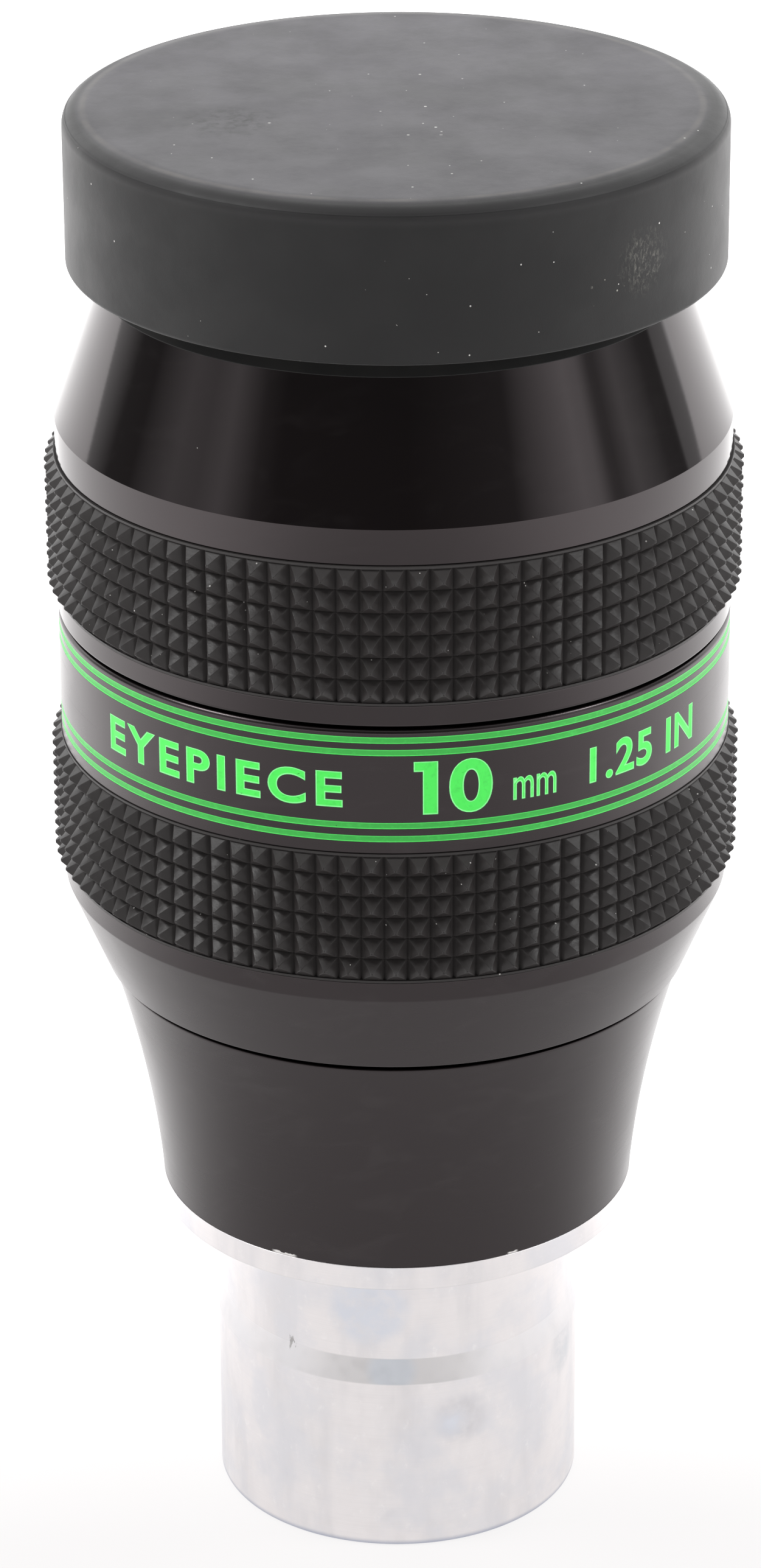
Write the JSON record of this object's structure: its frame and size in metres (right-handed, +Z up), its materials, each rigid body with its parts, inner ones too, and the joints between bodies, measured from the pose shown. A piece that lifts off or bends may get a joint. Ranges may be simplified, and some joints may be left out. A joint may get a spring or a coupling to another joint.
{
  "type": "telescope eyepiece",
  "caption": "Long eye relief telescope eyepiece: turned black body with rubber grips, sliding twist-lock eyeguard, dust cap and silver 31.7 mm push-fit barrel.",
  "frame": {"origin": "centre of the barrel's lower face, on the optical axis", "axes": "+Z up the optical axis, from the barrel to the dust cap; -Y is the front, where the lettering is"},
  "size_m": [0.0582, 0.0582, 0.1266],
  "materials": {
    "satin_silver": "satin",
    "satin_black": "satin",
    "gloss_black": "gloss",
    "matte_black": "matte",
    "grip_rubber": "matte",
    "eyecup_rubber": "matte",
    "cap_rubber": "matte",
    "brass": "satin",
    "steel": "satin",
    "coated_glass": "polished",
    "green_paint": "satin"
  },
  "bodies": {
    "main": {"nosepiece": "satin_silver", "lower_lens_cell": "matte_black", "lower_lens_retainer": "matte_black", "lower_negative_lens": "coated_glass", "lower_meniscus_lens": "coated_glass", "field_stop": "matte_black", "lower_housing": "satin_black", "main_housing": "satin_black", "lower_grip": "grip_rubber", "lower_optical_barrel": "matte_black", "upper_optical_barrel": "matte_black", "eye_lens_cell": "matte_black", "barrel_clamp_ring": "matte_black", "collector_lens": "coated_glass", "lower_spacer": "matte_black", "middle_flint_lens": "coated_glass", "middle_crown_lens": "coated_glass", "middle_spacer": "matte_black", "upper_flint_lens": "coated_glass", "upper_crown_lens": "coated_glass", "upper_spacer": "matte_black", "eye_lens": "coated_glass", "eye_lens_retainer": "matte_black", "top_stop_ring": "matte_black"},
    "slider": {"locking_collet": "brass", "friction_ring": "eyecup_rubber", "guide_pin_1": "steel", "guide_pin_2": "steel", "guide_pin_3": "steel"},
    "eyeguard": {"eyeguard_sleeve": "gloss_black", "upper_grip": "grip_rubber", "eyecup": "eyecup_rubber", "collet_retaining_ring": "matte_black"},
    "cap": {"dust_cap": "cap_rubber"}
  },
  "joints": [
    {"name": "eyeguard_slide", "type": "slide", "parent": "main", "child": "slider", "axis": [0, 0, 1], "range_m": [0, 0.011]},
    {"name": "eyeguard_twist", "type": "hinge", "parent": "slider", "child": "eyeguard", "pos_m": [0, 0, 0.0972], "axis": [0, 0, 1], "range_deg": [0, 60]},
    {"name": "cap_lift", "type": "slide", "parent": "eyeguard", "child": "cap", "axis": [0, 0, 1], "range_m": [0, 0.03]}
  ]
}
